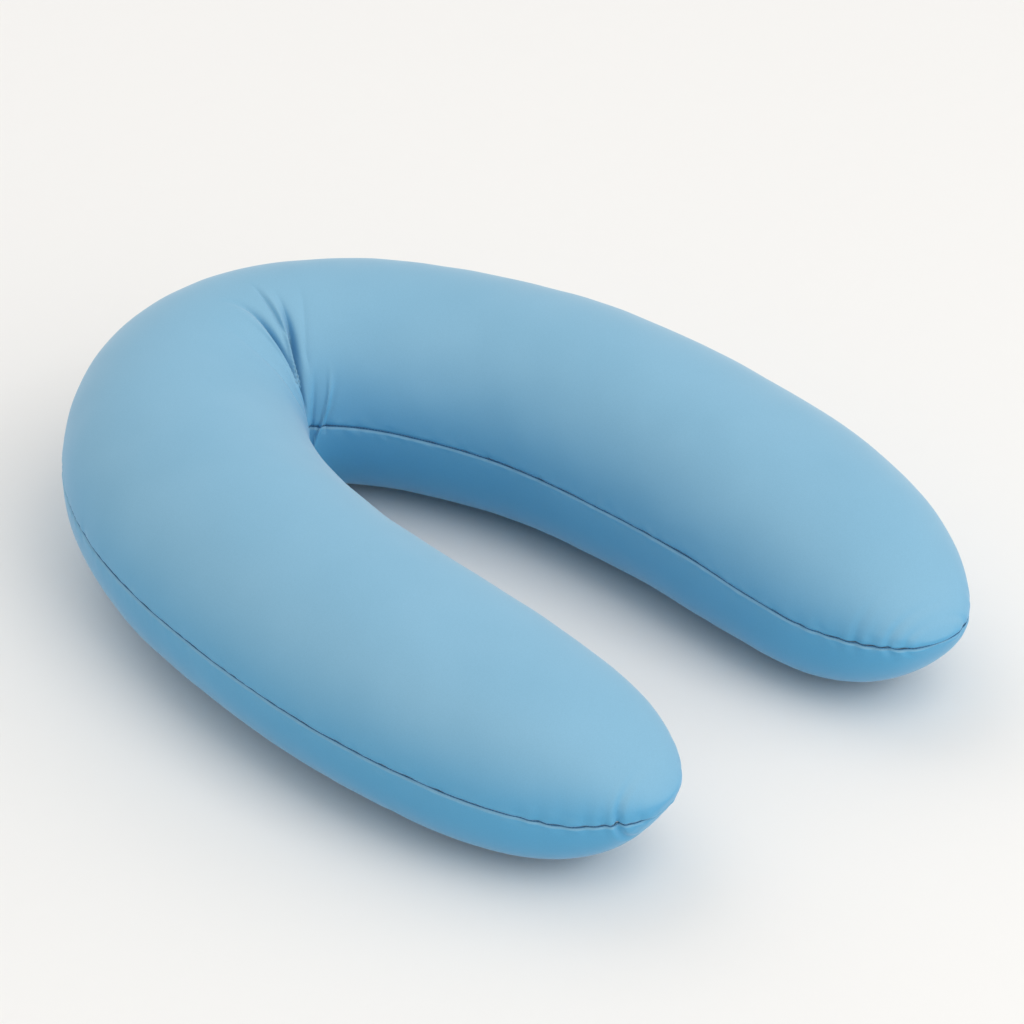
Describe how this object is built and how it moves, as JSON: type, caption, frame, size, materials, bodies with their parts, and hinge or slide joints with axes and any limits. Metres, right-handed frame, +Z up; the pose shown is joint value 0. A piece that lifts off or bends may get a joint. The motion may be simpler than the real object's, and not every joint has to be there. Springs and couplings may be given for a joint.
{
  "type": "u-shaped support cushion",
  "caption": "U-shaped bead-filled support cushion in a stretch jersey cover, two panels on one perimeter seam, zipped round the back of the crown.",
  "frame": {"origin": "centre of the bounding box's bottom face, on the surface the cushion rests on", "axes": "+Z up, +Y from the arms' tips towards the crown, +X towards the arm that carries the label"},
  "size_m": [0.6374, 0.8496, 0.2034],
  "materials": {
    "jersey": "matte cotton stretch jersey, light blue",
    "thread": "polyester sewing thread, darker blue",
    "zip_tape": "woven polyester tape",
    "zip_coil": "moulded nylon coil",
    "zip_metal": "nickel-plated die casting",
    "liner": "plain white cotton",
    "liner_tape": "woven polyester tape, white",
    "bead_fill": "expanded polystyrene beads",
    "label": "woven satin ribbon, blank"
  },
  "bodies": {
    "cushion": {"cover_top_panel": "jersey", "cover_bottom_panel": "jersey", "cover_seam_thread": "thread", "zip_tape_upper": "zip_tape", "zip_tape_lower": "zip_tape", "zip_coil_upper": "zip_coil", "zip_coil_lower": "zip_coil", "zip_top_stop_upper": "zip_metal", "zip_top_stop_lower": "zip_metal", "zip_bottom_stop": "zip_metal", "liner_top_panel": "liner", "liner_bottom_panel": "liner", "liner_seam_thread": "liner", "liner_zip_tape_upper": "liner_tape", "liner_zip_tape_lower": "liner_tape", "liner_zip_coil_upper": "zip_coil", "liner_zip_coil_lower": "zip_coil", "bead_fill": "bead_fill", "care_label": "label"},
    "slider": {"zip_slider": "zip_metal"},
    "pull_tab": {"zip_pull_tab": "zip_metal"},
    "liner_slider": {"liner_zip_slider": "zip_metal"}
  },
  "joints": [
    {"name": "zip_travel", "type": "hinge", "parent": "cushion", "child": "slider", "pos_m": [0, 0.18828, 0.10316], "axis": [0, 0, 1], "range_deg": [0, 70]},
    {"name": "pull_tab_swing", "type": "hinge", "parent": "slider", "child": "pull_tab", "pos_m": [0.13796, 0.3853, 0.10316], "axis": [0, 0, -1], "range_deg": [0, 160]},
    {"name": "liner_zip_travel", "type": "hinge", "parent": "cushion", "child": "liner_slider", "pos_m": [0, 0.18828, 0.10316], "axis": [0, 0, 1], "range_deg": [0, 24]}
  ]
}
